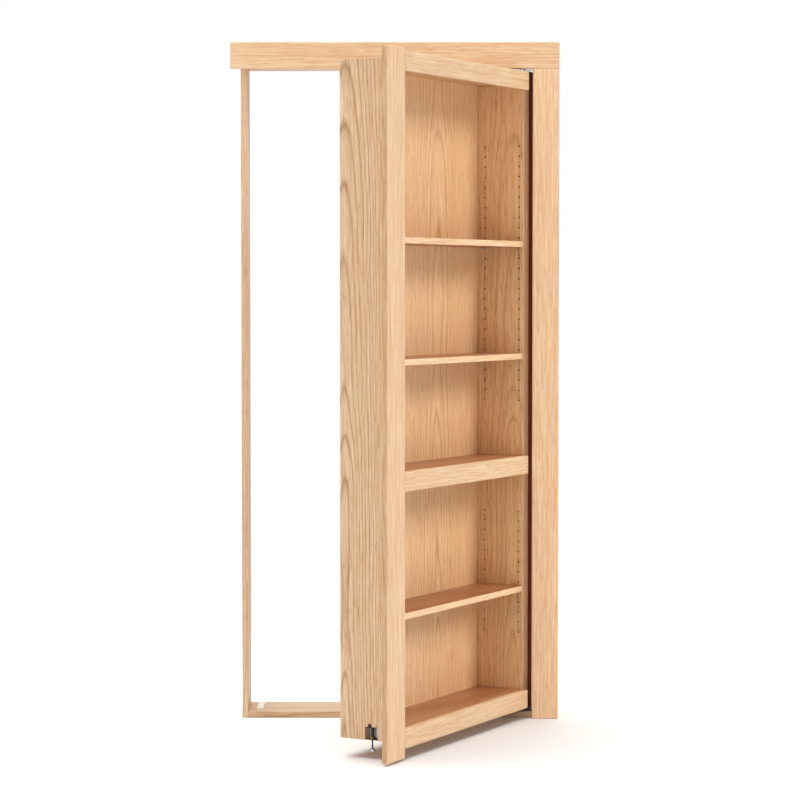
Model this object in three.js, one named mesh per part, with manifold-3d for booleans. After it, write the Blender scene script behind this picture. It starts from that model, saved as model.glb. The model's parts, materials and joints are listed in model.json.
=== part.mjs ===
// Hidden door bookcase: an oak bookcase that hangs in a door frame on a top and a bottom pivot.
// Units are millimetres, +Z is up, and the viewer stands on the -Y side.
// The origin is the middle of the underside of the sill, at floor level.
import * as THREE from 'three';
import { mergeVertices } from 'three/addons/utils/BufferGeometryUtils.js';
import Module from 'manifold-3d';

const wasm = await Module();
wasm.setup();

// Frame: jambs, head, sill and casings
const clearWidth = 899;
const casingOverlap = 38;
const jambThickness = 17.5;
const jambDepth = 177;
const headUnderside = 2055.5;
const casingWidth = 82.5;
const casingThickness = 19;
const headerReveal = 8.5;
const latchOverhang = 49;
const sillThickness = 20;
const sillNosing = 4;
const wearPlateWidth = 20;
const wearPlateFront = 33;
const wearPlateBack = 79;
const wearPlateThickness = 2;
const wearPlateCorner = 3;

// Bookcase: boards, gaps and heights above the floor
const boardThickness = 19;
const backThickness = 16;
const caseBackInset = 2;
const caseBottomHeight = 56;
const caseTopGap = 38;
const hingeGap = 4;
const packerThickness = 37;
const packerSetback = 3;
const packerPlateGap = 1.7;
const packerHeaderGap = 4.5;
const latchGap = 18;
const faceThickness = 19;
const faceProud = 1;
const trimBottomHeight = 6;
const trimTopGap = 3;
const railWidth = 57;
const topRailGap = 10;
const middleRailTop = 833.5;
const bottomRailTop = 90.5;
const grooveDepth = 6;
const openAngle = 61;

// Loose shelves and the two fields of pin holes
const shelfThickness = 19;
const shelfEndGap = 1.5;
const shelfBackGap = 1;
const holePitch = 32;
const holeDiameter = 5;
const holeDepth = 11;
const frontHoleInset = 15;
const backHoleInset = 25;
const upperFieldDrop = 192;
const upperFieldRise = 165;
const lowerFieldDrop = 158.8;
const lowerFieldRise = 165;
const upperShelfShares = [0.4, 0.84];
const lowerShelfShare = 0.67;
const pinDiameter = 4.6;
const pinReach = 9;
const pinInHole = 9.5;
const pinCollarDiameter = 9;
const pinCollarThickness = 0.8;

// Pivots
const pivotInset = 9;
const pivotPinDiameter = 9;
const pivotRunningGap = 0.3;
const bushWall = 2.2;
const bushLength = 14;
const plateThickness = 4;
const plateLength = 92;
const plateCorner = 5;
const platePinMargin = 14;
const shoulderDiameter = 15;
const washerDiameter = 24;
const washerThickness = 3;

// Foot under the free end
const footPocketStart = 50;
const footPocketWidth = 43;
const footPocketHeight = 39;
const footPocketLinerDepth = 12;
const footPocketCorner = 2;
const footHeadSlotWidth = 13;
const footHeadSlotHeight = 10;
const footAxisDepth = 78;
const footAxisInset = 17.5;
const bracketThickness = 2.5;
const bracketMouthInset = 5;
const bracketBend = 3;
const bracketEndGap = 1.5;
const footRodDiameter = 5;
const footHeadDiameter = 10;
const footHeadThickness = 3;
const footSleeveDiameter = 8.5;
const footNutAcross = 13;
const footNutThickness = 3.5;
const footPadDiameter = 21;
const footPadRim = 2;
const footPadHeight = 8;
const footPadNeckDiameter = 9;
const footLift = 0.5;

// Finish of the edges, and the gap between pieces that touch
const edgeEase = 1.5;
const endEaseShare = 0.6;
const faceEase = 2.5;
const metalEase = 0.6;
const fit = 0.3;
const overrun = 2;
const holeSides = 8;
const pinSides = 8;
const roundSides = 24;
const hexSides = 6;
const easeSteps = 2;
const cornerSteps = 3;
const mergeShare = 1e-4;

// Places worked out from the sizes above
const jambInner = clearWidth / 2;
const jambOuter = jambInner + jambThickness;
const hingeJambInner = jambInner + casingOverlap;
const hingeJambOuter = hingeJambInner + jambThickness;
const sillMiddle = (hingeJambInner - jambInner) / 2;
const frameFront = casingThickness;
const frameBack = frameFront + jambDepth;
const headerBottom = headUnderside - headerReveal;
const headerTop = headerBottom + casingWidth;
const headerLeft = -jambInner - latchOverhang;
const headerRight = jambInner + casingWidth;

const doorFront = -faceProud;
const caseFront = doorFront + faceThickness;
const caseBack = frameBack - caseBackInset;
const backPanelFront = caseBack - backThickness;
const caseLeft = -jambInner + latchGap;
const caseRight = jambInner - hingeGap;
const outerLeftInner = caseLeft + boardThickness;
const outerRightInner = caseRight - boardThickness;
const bayLeft = outerLeftInner + boardThickness;
const bayRight = outerRightInner - boardThickness;
const caseTopHeight = headUnderside - caseTopGap;
const caseTopUnderside = caseTopHeight - boardThickness;
const topRailTop = headerBottom - topRailGap;
const pivotX = (bayRight + outerRightInner) / 2;
const pivotY = caseFront + pivotInset;
const pivotBoreDiameter = pivotPinDiameter + 2 * pivotRunningGap;
const bushDiameter = pivotBoreDiameter + 2 * bushWall;
const footX = caseLeft + footAxisInset;
const footY = caseFront + footAxisDepth;
const footBottom = sillThickness + wearPlateThickness + footLift;
const pocketFront = caseFront + footPocketStart;
const pocketBack = pocketFront + footPocketWidth;
const pocketTop = caseBottomHeight + footPocketHeight;
const bracketRight = outerLeftInner + footPocketLinerDepth - fit;

// Finishes
const oakFace = new THREE.MeshStandardMaterial({ color: '#e9c196', roughness: 0.5, metalness: 0 });
const oakSide = new THREE.MeshStandardMaterial({ color: '#d6b088', roughness: 0.5, metalness: 0 });
const oakInside = new THREE.MeshStandardMaterial({ color: '#d9ab78', roughness: 0.5, metalness: 0 });
const oakStained = new THREE.MeshStandardMaterial({ color: '#5a3a28', roughness: 0.55, metalness: 0 });
const steel = new THREE.MeshStandardMaterial({ color: '#b9bbbd', roughness: 0.35, metalness: 1 });
const blackSteel = new THREE.MeshStandardMaterial({ color: '#1c1b1a', roughness: 0.45, metalness: 1 });
const brass = new THREE.MeshStandardMaterial({ color: '#c9a659', roughness: 0.35, metalness: 1 });
const whitePlastic = new THREE.MeshStandardMaterial({ color: '#f2f1ee', roughness: 0.4, metalness: 0 });

// Everything below is placed from the front plane of the casings and from midway between the latch
// jamb and the hinge casing, and then moved so that the sill's middle is the origin
const product = new THREE.Group();
const frame = new THREE.Group();
frame.position.set(-sillMiddle, -(frameFront + frameBack) / 2, 0);
product.add(frame);

// The bookcase is drawn shut and turned open about its pivots
const doorHinge = new THREE.Group();
doorHinge.position.set(pivotX, pivotY, 0);
doorHinge.rotation.z = THREE.MathUtils.degToRad(openAngle);
const door = new THREE.Group();
door.position.set(-pivotX, -pivotY, 0);
doorHinge.add(door);
frame.add(doorHinge);

// Turns an outline drawn in Y and Z so that it is pushed out along X
const alongX = new THREE.Matrix4().makeBasis(
  new THREE.Vector3(0, 1, 0), new THREE.Vector3(0, 0, 1), new THREE.Vector3(1, 0, 0));

// A named piece of the object
function piece(parent, name, geometry, material) {
  const mesh = new THREE.Mesh(geometry, material);
  mesh.name = name;
  parent.add(mesh);
  return mesh;
}

// A closed solid for joining and cutting
function solid(geometry) {
  const bare = geometry.clone();
  bare.deleteAttribute('normal');
  bare.deleteAttribute('uv');
  const merged = mergeVertices(bare, mergeShare);
  return new wasm.Manifold(new wasm.Mesh({
    numProp: 3,
    vertProperties: new Float32Array(merged.attributes.position.array),
    triVerts: new Uint32Array(merged.index.array),
  }));
}

function fromSolid(shape) {
  const mesh = shape.getMesh();
  const geometry = new THREE.BufferGeometry();
  geometry.setAttribute('position', new THREE.BufferAttribute(new Float32Array(mesh.vertProperties), 3));
  geometry.setIndex(new THREE.BufferAttribute(new Uint32Array(mesh.triVerts), 1));
  geometry.computeVertexNormals();
  return geometry;
}

function cut(geometry, ...cutters) {
  let shape = solid(geometry);
  for (const cutter of cutters) {
    shape = shape.subtract(solid(cutter));
  }
  return fromSolid(shape);
}

function join(...geometries) {
  let shape = solid(geometries[0]);
  for (const geometry of geometries.slice(1)) {
    shape = shape.add(solid(geometry));
  }
  return fromSolid(shape);
}

// A rectangle with round corners
function roundedOutline(width, height, radius) {
  const shape = new THREE.Shape();
  const x = width / 2;
  const y = height / 2;
  const quarter = Math.PI / 2;
  shape.moveTo(-x + radius, -y);
  shape.lineTo(x - radius, -y);
  shape.absarc(x - radius, -y + radius, radius, -quarter, 0);
  shape.lineTo(x, y - radius);
  shape.absarc(x - radius, y - radius, radius, 0, quarter);
  shape.lineTo(-x + radius, y);
  shape.absarc(-x + radius, y - radius, radius, quarter, 2 * quarter);
  shape.lineTo(-x, -y + radius);
  shape.absarc(-x + radius, -y + radius, radius, 2 * quarter, 3 * quarter);
  return shape;
}

// A planed board between two corners, its long way along the grain, with its edges eased
function board(low, high, ease = edgeEase) {
  const from = new THREE.Vector3(...low);
  const size = new THREE.Vector3(...high).sub(from);
  const along = size.z >= size.x && size.z >= size.y ? 2 : size.x >= size.y ? 0 : 1;
  const wide = (along + 1) % 3;
  const thick = (along + 2) % 3;
  const length = size.getComponent(along);
  const endEase = ease * endEaseShare;
  const profile = roundedOutline(size.getComponent(wide), size.getComponent(thick), ease);
  const geometry = new THREE.ExtrudeGeometry(profile, {
    depth: length - 2 * endEase,
    curveSegments: easeSteps,
    bevelEnabled: true,
    bevelSize: endEase,
    bevelThickness: endEase,
    bevelOffset: -endEase,
    bevelSegments: 1,
  });
  geometry.translate(0, 0, endEase - length / 2);
  const axes = [new THREE.Vector3(1, 0, 0), new THREE.Vector3(0, 1, 0), new THREE.Vector3(0, 0, 1)];
  geometry.applyMatrix4(new THREE.Matrix4().makeBasis(axes[wide], axes[thick], axes[along]));
  const middle = from.clone().addScaledVector(size, 0.5);
  geometry.translate(middle.x, middle.y, middle.z);
  return geometry;
}

// A plain block for cutting
function block(low, high) {
  const from = new THREE.Vector3(...low);
  const size = new THREE.Vector3(...high).sub(from);
  const geometry = new THREE.BoxGeometry(size.x, size.y, size.z);
  geometry.translate(from.x + size.x / 2, from.y + size.y / 2, from.z + size.z / 2);
  return geometry;
}

// An upright turned piece from pairs of radius and height
function turned(x, y, profile, sides = roundSides) {
  const points = profile.map(([radius, height]) => new THREE.Vector2(radius, height));
  const geometry = new THREE.LatheGeometry(points, sides);
  geometry.rotateX(Math.PI / 2);
  geometry.translate(x, y, 0);
  return geometry;
}

function upright(x, y, low, high, diameter, sides = roundSides) {
  const radius = diameter / 2;
  return turned(x, y, [[0, low], [radius, low], [radius, high], [0, high]], sides);
}

function tube(x, y, low, high, outer, inner, sides = roundSides) {
  const wall = [[inner / 2, low], [outer / 2, low], [outer / 2, high], [inner / 2, high], [inner / 2, low]];
  return turned(x, y, wall, sides);
}

// A round bar along X
function crossBar(from, to, y, z, diameter, sides) {
  const geometry = new THREE.CylinderGeometry(diameter / 2, diameter / 2, to - from, sides);
  geometry.rotateZ(Math.PI / 2);
  geometry.translate((from + to) / 2, y, z);
  return geometry;
}

// A flat steel plate with round corners
function plate(xLow, xHigh, yLow, yHigh, zLow, thickness, radius) {
  const outline = roundedOutline(xHigh - xLow, yHigh - yLow, radius);
  const geometry = new THREE.ExtrudeGeometry(outline, {
    depth: thickness - 2 * metalEase,
    curveSegments: cornerSteps,
    bevelEnabled: true,
    bevelSize: metalEase,
    bevelThickness: metalEase,
    bevelOffset: -metalEase,
    bevelSegments: 1,
  });
  geometry.translate((xLow + xHigh) / 2, (yLow + yHigh) / 2, zLow + metalEase);
  return geometry;
}

// Door frame
function makeFrame() {
  const head = headUnderside + jambThickness;
  piece(frame, 'latch_jamb', board(
    [-jambOuter, frameFront, 0], [-jambInner, frameBack, headUnderside]), oakSide);
  piece(frame, 'hinge_jamb', board(
    [hingeJambInner, frameFront, 0], [hingeJambOuter, frameBack, headUnderside]), oakSide);
  piece(frame, 'head_jamb', board(
    [-jambOuter, frameFront, headUnderside], [hingeJambOuter, frameBack, head]), oakSide);
  piece(frame, 'sill', makeSill(), oakSide);
  piece(frame, 'header_casing', board(
    [headerLeft, 0, headerBottom], [headerRight, casingThickness, headerTop], faceEase), oakFace);
  piece(frame, 'hinge_casing', board(
    [jambInner, 0, 0], [headerRight, casingThickness, headerBottom], faceEase), oakFace);
  piece(frame, 'sill_wear_plate', plate(
    footX - wearPlateWidth / 2, footX + wearPlateWidth / 2,
    footY - wearPlateFront, footY + wearPlateBack,
    sillThickness, wearPlateThickness, wearPlateCorner), whitePlastic);
}

// Threshold board with a rounded nosing along its front
function makeSill() {
  const shape = new THREE.Shape();
  shape.moveTo(frameFront + edgeEase, 0);
  shape.lineTo(frameBack - edgeEase, 0);
  shape.lineTo(frameBack, edgeEase);
  shape.lineTo(frameBack, sillThickness - edgeEase);
  shape.lineTo(frameBack - edgeEase, sillThickness);
  shape.lineTo(frameFront + sillNosing, sillThickness);
  shape.absarc(frameFront + sillNosing, sillThickness - sillNosing, sillNosing, Math.PI / 2, Math.PI);
  shape.lineTo(frameFront, edgeEase);
  const geometry = new THREE.ExtrudeGeometry(shape, {
    depth: jambInner + hingeJambInner, curveSegments: easeSteps, bevelEnabled: false,
  });
  geometry.applyMatrix4(alongX);
  geometry.translate(-jambInner, 0, 0);
  return geometry;
}

// Heights of the pin holes of one field between two boards, from the top down
function fieldHeights(top, bottom) {
  const steps = Math.floor((top - bottom) / holePitch);
  return Array.from({ length: steps + 1 }, (_, row) => top - row * holePitch);
}

const upperField = fieldHeights(caseTopUnderside - upperFieldDrop, middleRailTop + upperFieldRise);
const lowerField = fieldHeights(
  middleRailTop - boardThickness - lowerFieldDrop, bottomRailTop + lowerFieldRise);
const holeRows = [caseFront + frontHoleInset, backPanelFront - backHoleInset];

// Blind pin holes bored from a bay into the liner beside it
function pinHoles(bayFace, inward) {
  const mouth = bayFace + inward * overrun;
  const end = bayFace - inward * holeDepth;
  const cutters = [];
  for (const y of holeRows) {
    for (const z of [...upperField, ...lowerField]) {
      cutters.push(crossBar(Math.min(mouth, end), Math.max(mouth, end), y, z, holeDiameter, holeSides));
    }
  }
  return cutters;
}

// Grooves in a liner that house the ends of the fixed shelf and the case bottom
function shelfGrooves(bayFace, inward) {
  const mouth = bayFace + inward * overrun;
  const end = bayFace - inward * grooveDepth;
  const xs = [Math.min(mouth, end), Math.max(mouth, end)];
  return [middleRailTop, bottomRailTop].map((top) => block(
    [xs[0], caseFront - overrun, top - boardThickness - fit],
    [xs[1], backPanelFront + overrun, top + fit]));
}

// Pocket for the foot bracket, open at the bottom, with an arched slot above for the head of the rod
function footPocket(xLow, xHigh) {
  const quarter = Math.PI / 2;
  const radius = footPocketCorner;
  const slot = footHeadSlotWidth / 2;
  const slotSpring = pocketTop + footHeadSlotHeight - slot;
  const shape = new THREE.Shape();
  shape.moveTo(pocketFront, caseBottomHeight - overrun);
  shape.lineTo(pocketBack, caseBottomHeight - overrun);
  shape.lineTo(pocketBack, pocketTop - radius);
  shape.absarc(pocketBack - radius, pocketTop - radius, radius, 0, quarter);
  shape.lineTo(footY + slot, pocketTop);
  shape.absarc(footY, slotSpring, slot, 0, 2 * quarter);
  shape.lineTo(footY - slot, pocketTop);
  shape.absarc(pocketFront + radius, pocketTop - radius, radius, quarter, 2 * quarter);
  const geometry = new THREE.ExtrudeGeometry(shape, {
    depth: xHigh - xLow, curveSegments: cornerSteps, bevelEnabled: false,
  });
  geometry.applyMatrix4(alongX);
  geometry.translate(xLow, 0, 0);
  return [geometry];
}

// Outer side boards, the bored liners that double them, and the packer behind the hinge casing
function makeSides() {
  const leftOuter = board(
    [caseLeft, caseFront, caseBottomHeight], [outerLeftInner - fit, caseBack, caseTopHeight]);
  piece(door, 'latch_side', cut(leftOuter, ...footPocket(caseLeft - overrun, outerLeftInner + overrun)), oakSide);
  piece(door, 'hinge_side', board(
    [outerRightInner + fit, caseFront, caseBottomHeight], [caseRight, caseBack, caseTopHeight]), oakSide);

  piece(door, 'hinge_packer', board(
    [caseRight + fit, casingThickness + packerSetback,
      sillThickness + fit + plateThickness + packerPlateGap],
    [caseRight + packerThickness, caseBack, headerBottom - packerHeaderGap]), oakStained);

  const linerTop = caseTopUnderside - fit;
  const linerBack = backPanelFront - fit;
  const leftLiner = board([outerLeftInner, caseFront, caseBottomHeight], [bayLeft, linerBack, linerTop]);
  piece(door, 'latch_liner', cut(
    leftLiner,
    ...pinHoles(bayLeft, 1),
    ...shelfGrooves(bayLeft, 1),
    ...footPocket(outerLeftInner - overrun, outerLeftInner + footPocketLinerDepth)), oakInside);

  const rightLiner = board([bayRight, caseFront, caseBottomHeight], [outerRightInner, linerBack, linerTop]);
  const bushBore = bushDiameter + 2 * fit;
  piece(door, 'hinge_liner', cut(
    rightLiner,
    ...pinHoles(bayRight, -1),
    ...shelfGrooves(bayRight, -1),
    upright(pivotX, pivotY, caseBottomHeight - overrun, caseBottomHeight + bushLength + fit, bushBore)), oakInside);
}

// Top, bottom, fixed shelf and back
function makeCase() {
  const left = outerLeftInner + fit;
  const right = outerRightInner - fit;
  const bore = upright(
    pivotX, pivotY, caseTopUnderside - overrun, caseTopHeight + overrun, bushDiameter + 2 * fit);
  piece(door, 'case_top', cut(board(
    [left, caseFront, caseTopUnderside], [right, backPanelFront - fit, caseTopHeight]), bore), oakInside);
  const groovedLeft = bayLeft - grooveDepth + fit;
  const groovedRight = bayRight + grooveDepth - fit;
  const levels = { case_bottom: bottomRailTop, fixed_shelf: middleRailTop };
  for (const [name, top] of Object.entries(levels)) {
    piece(door, name, board(
      [groovedLeft, caseFront, top - boardThickness], [groovedRight, backPanelFront - fit, top]), oakInside);
  }
  piece(door, 'back_panel', board(
    [left, backPanelFront, caseBottomHeight], [right, caseBack, caseTopHeight]), oakInside);
}

// Trim board that covers the latch jamb, and the three rails
function makeFace() {
  piece(door, 'latch_trim', board(
    [headerLeft, doorFront, trimBottomHeight],
    [bayLeft, caseFront - fit, headerBottom - trimTopGap], faceEase), oakFace);
  const rails = { top_rail: topRailTop, middle_rail: middleRailTop, bottom_rail: bottomRailTop };
  for (const [name, top] of Object.entries(rails)) {
    piece(door, name, board(
      [bayLeft + fit, doorFront, top - railWidth], [bayRight, caseFront - fit, top]), oakFace);
  }
}

// Shelf pins: a short steel pin with a collar, pushed into a pin hole
function shelfPin(bayFace, inward, y, z) {
  const tip = bayFace + inward * pinReach;
  const end = bayFace - inward * pinInHole;
  const collar = [bayFace + inward * fit, bayFace + inward * (fit + pinCollarThickness)];
  return join(
    crossBar(Math.min(tip, end), Math.max(tip, end), y, z, pinDiameter, pinSides),
    crossBar(Math.min(...collar), Math.max(...collar), y, z, pinCollarDiameter, pinSides));
}

// The hole of a field that lies a share of the way down
function holeAt(field, share) {
  return field[Math.round((field.length - 1) * share)];
}

// Loose shelves, each on four pins
function makeShelves() {
  const pinRadius = pinDiameter / 2;
  const [upperShare, secondShare] = upperShelfShares;
  const places = {
    shelf_upper: holeAt(upperField, upperShare),
    shelf_second: holeAt(upperField, secondShare),
    shelf_lower: holeAt(lowerField, lowerShelfShare),
  };
  const rowNames = ['front', 'back'];
  for (const [name, hole] of Object.entries(places)) {
    const low = hole + pinRadius + fit;
    piece(door, name, board(
      [bayLeft + shelfEndGap, caseFront, low],
      [bayRight - shelfEndGap, backPanelFront - shelfBackGap, low + shelfThickness]), oakInside);
    holeRows.forEach((y, row) => {
      piece(door, `${name}_pin_latch_${rowNames[row]}`, shelfPin(bayLeft, 1, y, hole), steel);
      piece(door, `${name}_pin_hinge_${rowNames[row]}`, shelfPin(bayRight, -1, y, hole), steel);
    });
  }
}

// Pivots: a plate and pin on the frame, and a bored plate and bush on the case
function makePivots() {
  const casePlateX = [pivotX - platePinMargin, caseRight - fit];
  const casePlateY = [caseFront + 2 * fit, caseFront + plateLength];
  const framePlateX = [pivotX - platePinMargin, hingeJambInner - fit];
  const framePlateY = [frameFront + fit, frameFront + plateLength];

  const bottomPlate = plate(
    ...casePlateX, ...casePlateY, caseBottomHeight - fit - plateThickness, plateThickness, plateCorner);
  const topPlate = plate(...casePlateX, ...casePlateY, caseTopHeight + fit, plateThickness, plateCorner);
  const boreRange = [caseBottomHeight - 2 * plateThickness, caseTopHeight + 2 * plateThickness];
  const bore = upright(pivotX, pivotY, ...boreRange, pivotBoreDiameter);
  piece(door, 'case_bottom_plate', cut(bottomPlate, bore), blackSteel);
  piece(door, 'case_top_plate', cut(topPlate, bore), blackSteel);
  piece(door, 'bottom_bush', tube(
    pivotX, pivotY, caseBottomHeight, caseBottomHeight + bushLength, bushDiameter, pivotBoreDiameter), brass);
  piece(door, 'top_bush', tube(
    pivotX, pivotY, caseTopHeight - bushLength, caseTopHeight, bushDiameter, pivotBoreDiameter), brass);

  piece(frame, 'sill_pivot_plate', plate(
    ...framePlateX, ...framePlateY, sillThickness + fit, plateThickness, plateCorner), blackSteel);
  piece(frame, 'head_pivot_plate', plate(
    ...framePlateX, ...framePlateY, headUnderside - fit - plateThickness, plateThickness, plateCorner), steel);

  const radius = pivotPinDiameter / 2;
  const shoulder = shoulderDiameter / 2;
  const washerTop = caseBottomHeight - plateThickness - 2 * fit;
  const shoulderTop = washerTop - washerThickness - fit;
  const studFoot = sillThickness + plateThickness + 2 * fit;
  const pinTip = caseBottomHeight + bushLength - fit;
  piece(frame, 'bottom_pivot_stud', turned(pivotX, pivotY, [
    [0, studFoot], [shoulder, studFoot], [shoulder, shoulderTop - metalEase], [shoulder - metalEase, shoulderTop],
    [radius, shoulderTop], [radius, pinTip - metalEase], [radius - metalEase, pinTip], [0, pinTip]]), steel);
  piece(frame, 'bottom_thrust_washer', tube(
    pivotX, pivotY, washerTop - washerThickness, washerTop, washerDiameter, pivotBoreDiameter), brass);

  const pinHead = headUnderside - plateThickness - 2 * fit;
  const collarLow = caseTopHeight + plateThickness + 2 * fit;
  const topTip = caseTopHeight - bushLength + fit;
  piece(frame, 'top_pivot_pin', turned(pivotX, pivotY, [
    [0, topTip], [radius - metalEase, topTip], [radius, topTip + metalEase], [radius, collarLow],
    [shoulder - metalEase, collarLow], [shoulder, collarLow + metalEase], [shoulder, pinHead], [0, pinHead]]), steel);
}

// Foot under the free end: bracket, sleeve and nut on the case, rod and pad that slide in them
function makeFoot() {
  const flangeLow = caseBottomHeight + fit;
  const flangeHigh = pocketTop - fit;
  const mouth = caseLeft + bracketMouthInset;
  const outer = bracketBend;
  const inner = bracketBend - bracketThickness;
  const shape = new THREE.Shape();
  const quarter = Math.PI / 2;
  shape.moveTo(mouth, flangeLow);
  shape.lineTo(bracketRight - outer, flangeLow);
  shape.absarc(bracketRight - outer, flangeLow + outer, outer, -quarter, 0);
  shape.lineTo(bracketRight, flangeHigh - outer);
  shape.absarc(bracketRight - outer, flangeHigh - outer, outer, 0, quarter);
  shape.lineTo(mouth, flangeHigh);
  shape.lineTo(mouth, flangeHigh - bracketThickness);
  shape.lineTo(bracketRight - outer, flangeHigh - bracketThickness);
  shape.absarc(bracketRight - outer, flangeHigh - outer, inner, quarter, 0, true);
  shape.lineTo(bracketRight - bracketThickness, flangeLow + outer);
  shape.absarc(bracketRight - outer, flangeLow + outer, inner, 0, -quarter, true);
  shape.lineTo(mouth, flangeLow + bracketThickness);
  const width = footPocketWidth - 2 * bracketEndGap;
  const channel = new THREE.ExtrudeGeometry(shape, { depth: width, curveSegments: cornerSteps, bevelEnabled: false });
  const turnedUp = new THREE.Matrix4().makeBasis(
    new THREE.Vector3(1, 0, 0), new THREE.Vector3(0, 0, 1), new THREE.Vector3(0, -1, 0));
  channel.applyMatrix4(turnedUp);
  channel.translate(0, pocketBack - bracketEndGap, 0);
  const rodBore = footRodDiameter + 2 * fit;
  const bore = upright(footX, footY, flangeLow - overrun, flangeHigh + overrun, rodBore);
  piece(door, 'foot_bracket', cut(channel, bore), steel);

  const nutLow = flangeLow + bracketThickness + fit;
  const nutHigh = nutLow + footNutThickness;
  const sleeveHigh = flangeHigh - bracketThickness - fit;
  piece(door, 'foot_nut', cut(
    upright(footX, footY, nutLow, nutHigh, footNutAcross, hexSides),
    upright(footX, footY, nutLow - overrun, nutHigh + overrun, rodBore)), brass);
  piece(door, 'foot_sleeve', tube(
    footX, footY, nutHigh + fit, sleeveHigh, footSleeveDiameter, rodBore), blackSteel);

  const rod = footRodDiameter / 2;
  const head = footHeadDiameter / 2;
  const headLow = flangeHigh + fit;
  const headHigh = headLow + footHeadThickness;
  const padTop = footBottom + footPadHeight;
  piece(door, 'foot_rod', turned(footX, footY, [
    [0, padTop + fit], [rod, padTop + fit], [rod, headLow], [head, headLow],
    [head, headHigh - metalEase], [head - metalEase, headHigh], [0, headHigh]], pinSides), blackSteel);
  const pad = footPadDiameter / 2;
  const neck = footPadNeckDiameter / 2;
  piece(door, 'foot_pad', turned(footX, footY, [
    [0, footBottom], [pad - metalEase, footBottom], [pad, footBottom + metalEase], [pad, footBottom + footPadRim],
    [neck, padTop - metalEase], [rod + metalEase, padTop], [0, padTop]]), steel);
}

makeFrame();
makeSides();
makeCase();
makeFace();
makeShelves();
makePivots();
makeFoot();

export default product;
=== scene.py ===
"""The looks of the hidden door bookcase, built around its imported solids, in metres."""

import json
import math
from collections import namedtuple

import bmesh
import bpy
from bpy.props import FloatProperty, FloatVectorProperty, IntProperty, PointerProperty
from mathutils import Euler, Matrix, Vector


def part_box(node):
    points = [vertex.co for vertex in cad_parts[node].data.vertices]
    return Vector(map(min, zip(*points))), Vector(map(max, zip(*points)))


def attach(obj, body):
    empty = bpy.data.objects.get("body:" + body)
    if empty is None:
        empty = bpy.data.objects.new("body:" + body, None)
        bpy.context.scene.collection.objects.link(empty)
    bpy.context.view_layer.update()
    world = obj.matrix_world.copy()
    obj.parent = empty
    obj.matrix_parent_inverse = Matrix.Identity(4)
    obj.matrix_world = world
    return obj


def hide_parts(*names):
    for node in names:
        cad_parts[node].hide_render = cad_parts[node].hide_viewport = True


bl_info = {
    "name": "Hidden door bookcase",
    "version": (1, 0, 0),
    "blender": (4, 5, 0),
    "location": "3D View > Sidebar > Bookcase",
    "description": "Dresses an oak bookcase that is hung as a door in its frame",
    "category": "Object",
}

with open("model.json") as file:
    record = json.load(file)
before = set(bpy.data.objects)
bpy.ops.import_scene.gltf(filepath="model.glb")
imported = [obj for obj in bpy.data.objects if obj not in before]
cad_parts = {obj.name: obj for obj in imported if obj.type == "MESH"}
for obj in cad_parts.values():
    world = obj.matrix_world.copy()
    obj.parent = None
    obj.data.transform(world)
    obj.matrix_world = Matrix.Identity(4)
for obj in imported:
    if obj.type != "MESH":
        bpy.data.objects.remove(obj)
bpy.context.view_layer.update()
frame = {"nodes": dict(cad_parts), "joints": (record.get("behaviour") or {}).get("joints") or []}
MM = 0.001

SWING = next(joint for joint in frame["joints"] if joint["name"] == "door_swing")
PIVOT = Vector((SWING["pos_m"][0], SWING["pos_m"][1], 0.0))
SHUT_TURN = Matrix.Rotation(math.radians(SWING["range_deg"][0]), 3, "Z")

# How the grain, the width and the thickness of a board lie: rows are the board's own
# X (across), Y (through) and Z (along the grain), written in the axes of the shut bookcase
FACE_UPRIGHT = Matrix(((1, 0, 0), (0, 1, 0), (0, 0, 1)))
SIDE_UPRIGHT = Matrix(((0, 1, 0), (-1, 0, 0), (0, 0, 1)))
FACE_LEVEL = Matrix(((0, 0, 1), (0, -1, 0), (1, 0, 0)))
FLAT_LEVEL = Matrix(((0, 1, 0), (0, 0, 1), (1, 0, 0)))

# The ways that the front and the latch end of the shut bookcase look
FRONT = (0, -1, 0)
LATCH_END = (-1, 0, 0)

# How a board is cut from its log: the place of the pith across and below the board's middle in
# metres, the lean of the trunk, the width and the wave of the rings in millimetres, the strength
# of their lines, a seed, and how light this board is beside the others, which is partly its own
# tone and partly light or shade painted in where the lamps light it otherwise
Cut = namedtuple("Cut", "across below lean ring wave strength seed shade")

# The cut of an edge or a lipping, which is too narrow to show more than straight lines
EDGE_CUT = Cut(0.05, 0.05, 0.02, 9.0, 20.0, 0.50, 24.0, 1.0)


def linear(hex_colour):
    """An sRGB hex colour as linear red, green, blue and alpha."""
    steps = [int(hex_colour[i : i + 2], 16) / 255 for i in (1, 3, 5)]
    light = [s / 12.92 if s <= 0.04045 else ((s + 0.055) / 1.055) ** 2.4 for s in steps]
    return (*light, 1.0)


# Settings


def colour(name, text, default):
    """A colour that the user can change. Its default is an sRGB hex value."""
    return FloatVectorProperty(
        name=name, description=text, subtype="COLOR", size=4, min=0.0, max=1.0,
        default=linear(default),
    )


def length(name, text, millimetres):
    """A length that the user can change. Its default is given in millimetres."""
    return FloatProperty(
        name=name, description=text, subtype="DISTANCE", unit="LENGTH", default=millimetres * MM
    )


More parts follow.
